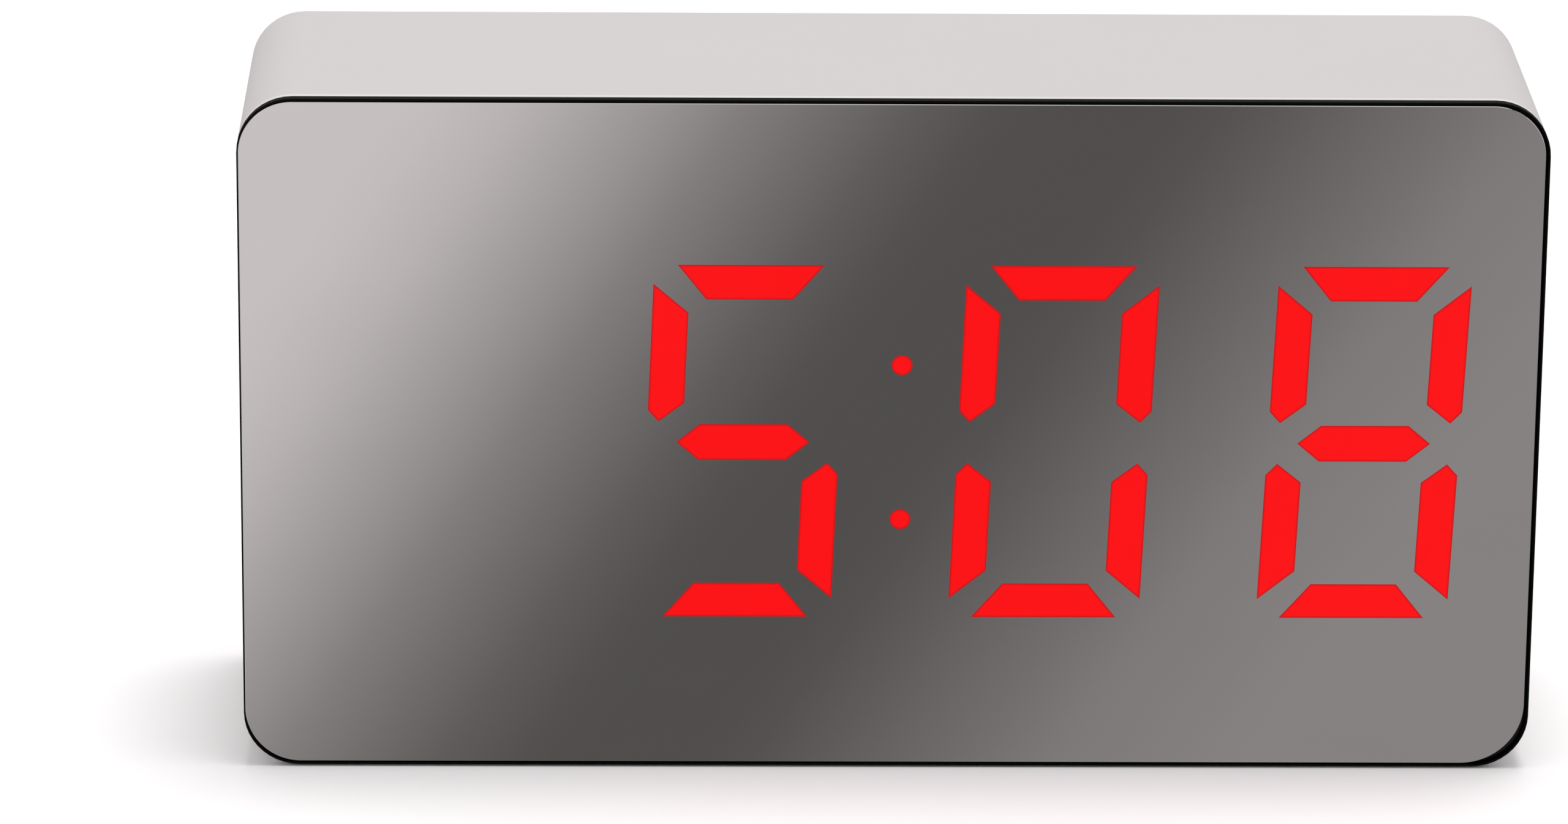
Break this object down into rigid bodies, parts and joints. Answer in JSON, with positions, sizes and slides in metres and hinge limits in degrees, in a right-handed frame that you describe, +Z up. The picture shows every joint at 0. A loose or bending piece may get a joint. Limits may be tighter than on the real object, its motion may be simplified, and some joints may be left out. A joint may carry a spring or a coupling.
{
  "type": "alarm clock",
  "caption": "Mini desk alarm clock with a half-mirror face, red seven-segment digits behind it, rear buttons, battery bay and USB power inlet.",
  "frame": {"origin": "middle of the clock's box on the surface that it stands on", "axes": "+X right as seen from the front, -Y is the way the face looks, +Z up"},
  "size_m": [0.117, 0.0306, 0.0632],
  "materials": {
    "half_mirror": "polished",
    "adhesive_tape": "matt",
    "black_abs": "satin",
    "white_abs": "satin, fine moulded texture",
    "button_abs": "satin",
    "pad_rubber": "matt",
    "screw_steel": "zinc plated",
    "mask_black": "matt",
    "reflector_white": "matt",
    "lit_red": "glowing red diffuser",
    "dark_red": "unlit diffuser",
    "led_chip": "clear resin",
    "board_green": "solder mask",
    "chip_black": "matt moulding",
    "tinned_lead": "tinned",
    "crystal_can": "drawn can",
    "capacitor_can": "satin",
    "buzzer_black": "matt",
    "resistor_body": "glazed",
    "switch_black": "matt",
    "plunger_brown": "matt",
    "usb_steel": "nickel plated",
    "usb_core": "matt",
    "cell_jacket": "printed sleeve",
    "contact_nickel": "nickel plated",
    "wire_black": "PVC sleeve",
    "wire_red": "PVC sleeve",
    "ribbon_grey": "PVC ribbon"
  },
  "bodies": {
    "case": {"mirror_panel": "half_mirror", "panel_tape": "adhesive_tape", "front_frame": "black_abs", "rear_shell": "white_abs", "anti_slip_pads": "pad_rubber", "case_screws": "screw_steel", "display_mask": "mask_black", "reflector_block": "reflector_white", "lit_segments": "lit_red", "dark_segments": "dark_red", "colon_dots": "lit_red", "segment_leds": "led_chip", "display_board": "board_green", "board_screws": "screw_steel", "chip_leads": "tinned_lead", "clock_chip": "chip_black", "driver_chip": "chip_black", "timing_crystal": "crystal_can", "filter_capacitor": "capacitor_can", "buzzer": "buzzer_black", "chip_resistors": "resistor_body", "button_board": "board_green", "switch_bodies": "switch_black", "button_board_screws": "screw_steel", "usb_socket_shell": "usb_steel", "usb_socket_core": "usb_core", "negative_contact": "contact_nickel", "positive_contact": "contact_nickel", "left_link_contact": "contact_nickel", "right_link_contact": "contact_nickel", "battery_wire_black": "wire_black", "battery_wire_red": "wire_red", "ribbon_cable": "ribbon_grey", "battery_cell_1": "cell_jacket", "contact_spring_1": "contact_nickel", "battery_cell_2": "cell_jacket", "contact_spring_2": "contact_nickel", "battery_cell_3": "cell_jacket", "contact_spring_3": "contact_nickel"},
    "battery_door": {"battery_door": "white_abs"},
    "mode_key": {"mode_button": "button_abs", "mode_plunger": "plunger_brown"},
    "set_key": {"set_button": "button_abs", "set_plunger": "plunger_brown"},
    "up_key": {"up_button": "button_abs", "up_plunger": "plunger_brown"},
    "down_key": {"down_button": "button_abs", "down_plunger": "plunger_brown"},
    "snooze_key": {"snooze_button": "button_abs", "snooze_plunger": "plunger_brown"}
  },
  "joints": [
    {"name": "battery_door_hinge", "type": "hinge", "parent": "case", "child": "battery_door", "pos_m": [0, 0.0147, 0.0072], "axis": [-1, 0, 0], "range_deg": [0, 80]},
    {"name": "mode_press", "type": "slide", "parent": "case", "child": "mode_key", "axis": [0, -1, 0], "range_m": [0, 0.0003], "stiffness_N_per_m": 1600, "springref_m": -0.0007},
    {"name": "set_press", "type": "slide", "parent": "case", "child": "set_key", "axis": [0, -1, 0], "range_m": [0, 0.0003], "stiffness_N_per_m": 1600, "springref_m": -0.0007},
    {"name": "up_press", "type": "slide", "parent": "case", "child": "up_key", "axis": [0, -1, 0], "range_m": [0, 0.0003], "stiffness_N_per_m": 1600, "springref_m": -0.0007},
    {"name": "down_press", "type": "slide", "parent": "case", "child": "down_key", "axis": [0, -1, 0], "range_m": [0, 0.0003], "stiffness_N_per_m": 1600, "springref_m": -0.0007},
    {"name": "snooze_press", "type": "slide", "parent": "case", "child": "snooze_key", "axis": [0, -1, 0], "range_m": [0, 0.0003], "stiffness_N_per_m": 1600, "springref_m": -0.0007}
  ]
}
